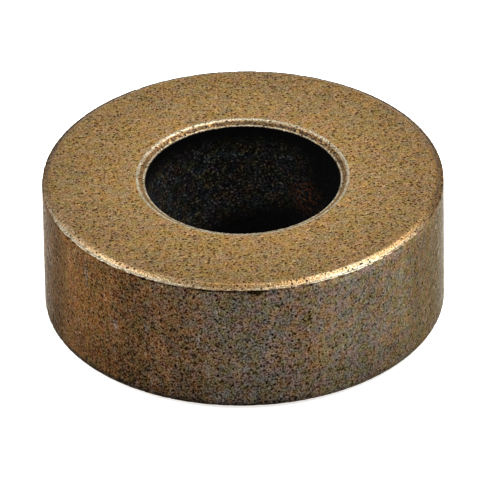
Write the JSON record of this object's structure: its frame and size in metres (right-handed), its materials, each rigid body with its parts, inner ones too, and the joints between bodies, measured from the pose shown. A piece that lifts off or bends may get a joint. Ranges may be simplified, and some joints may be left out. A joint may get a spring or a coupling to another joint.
{
  "type": "sleeve bushing",
  "caption": "Short thick-walled sleeve bushing of sintered bronze: a plain ring with a smooth through bore and small stepped chamfers round both ends.",
  "frame": {"origin": "centre of the bore at the lower end face, which the ring rests on", "axes": "+Z along the bore axis, from the lower end face to the upper one; X and Y are any two directions across the ring"},
  "size_m": [0.035, 0.035, 0.0125],
  "materials": {
    "sintered_bronze": "satin, finely pored sintered bronze with brown oxide on the outer wall"
  },
  "bodies": {
    "root": {"sleeve_bushing": "sintered_bronze"}
  },
  "joints": []
}
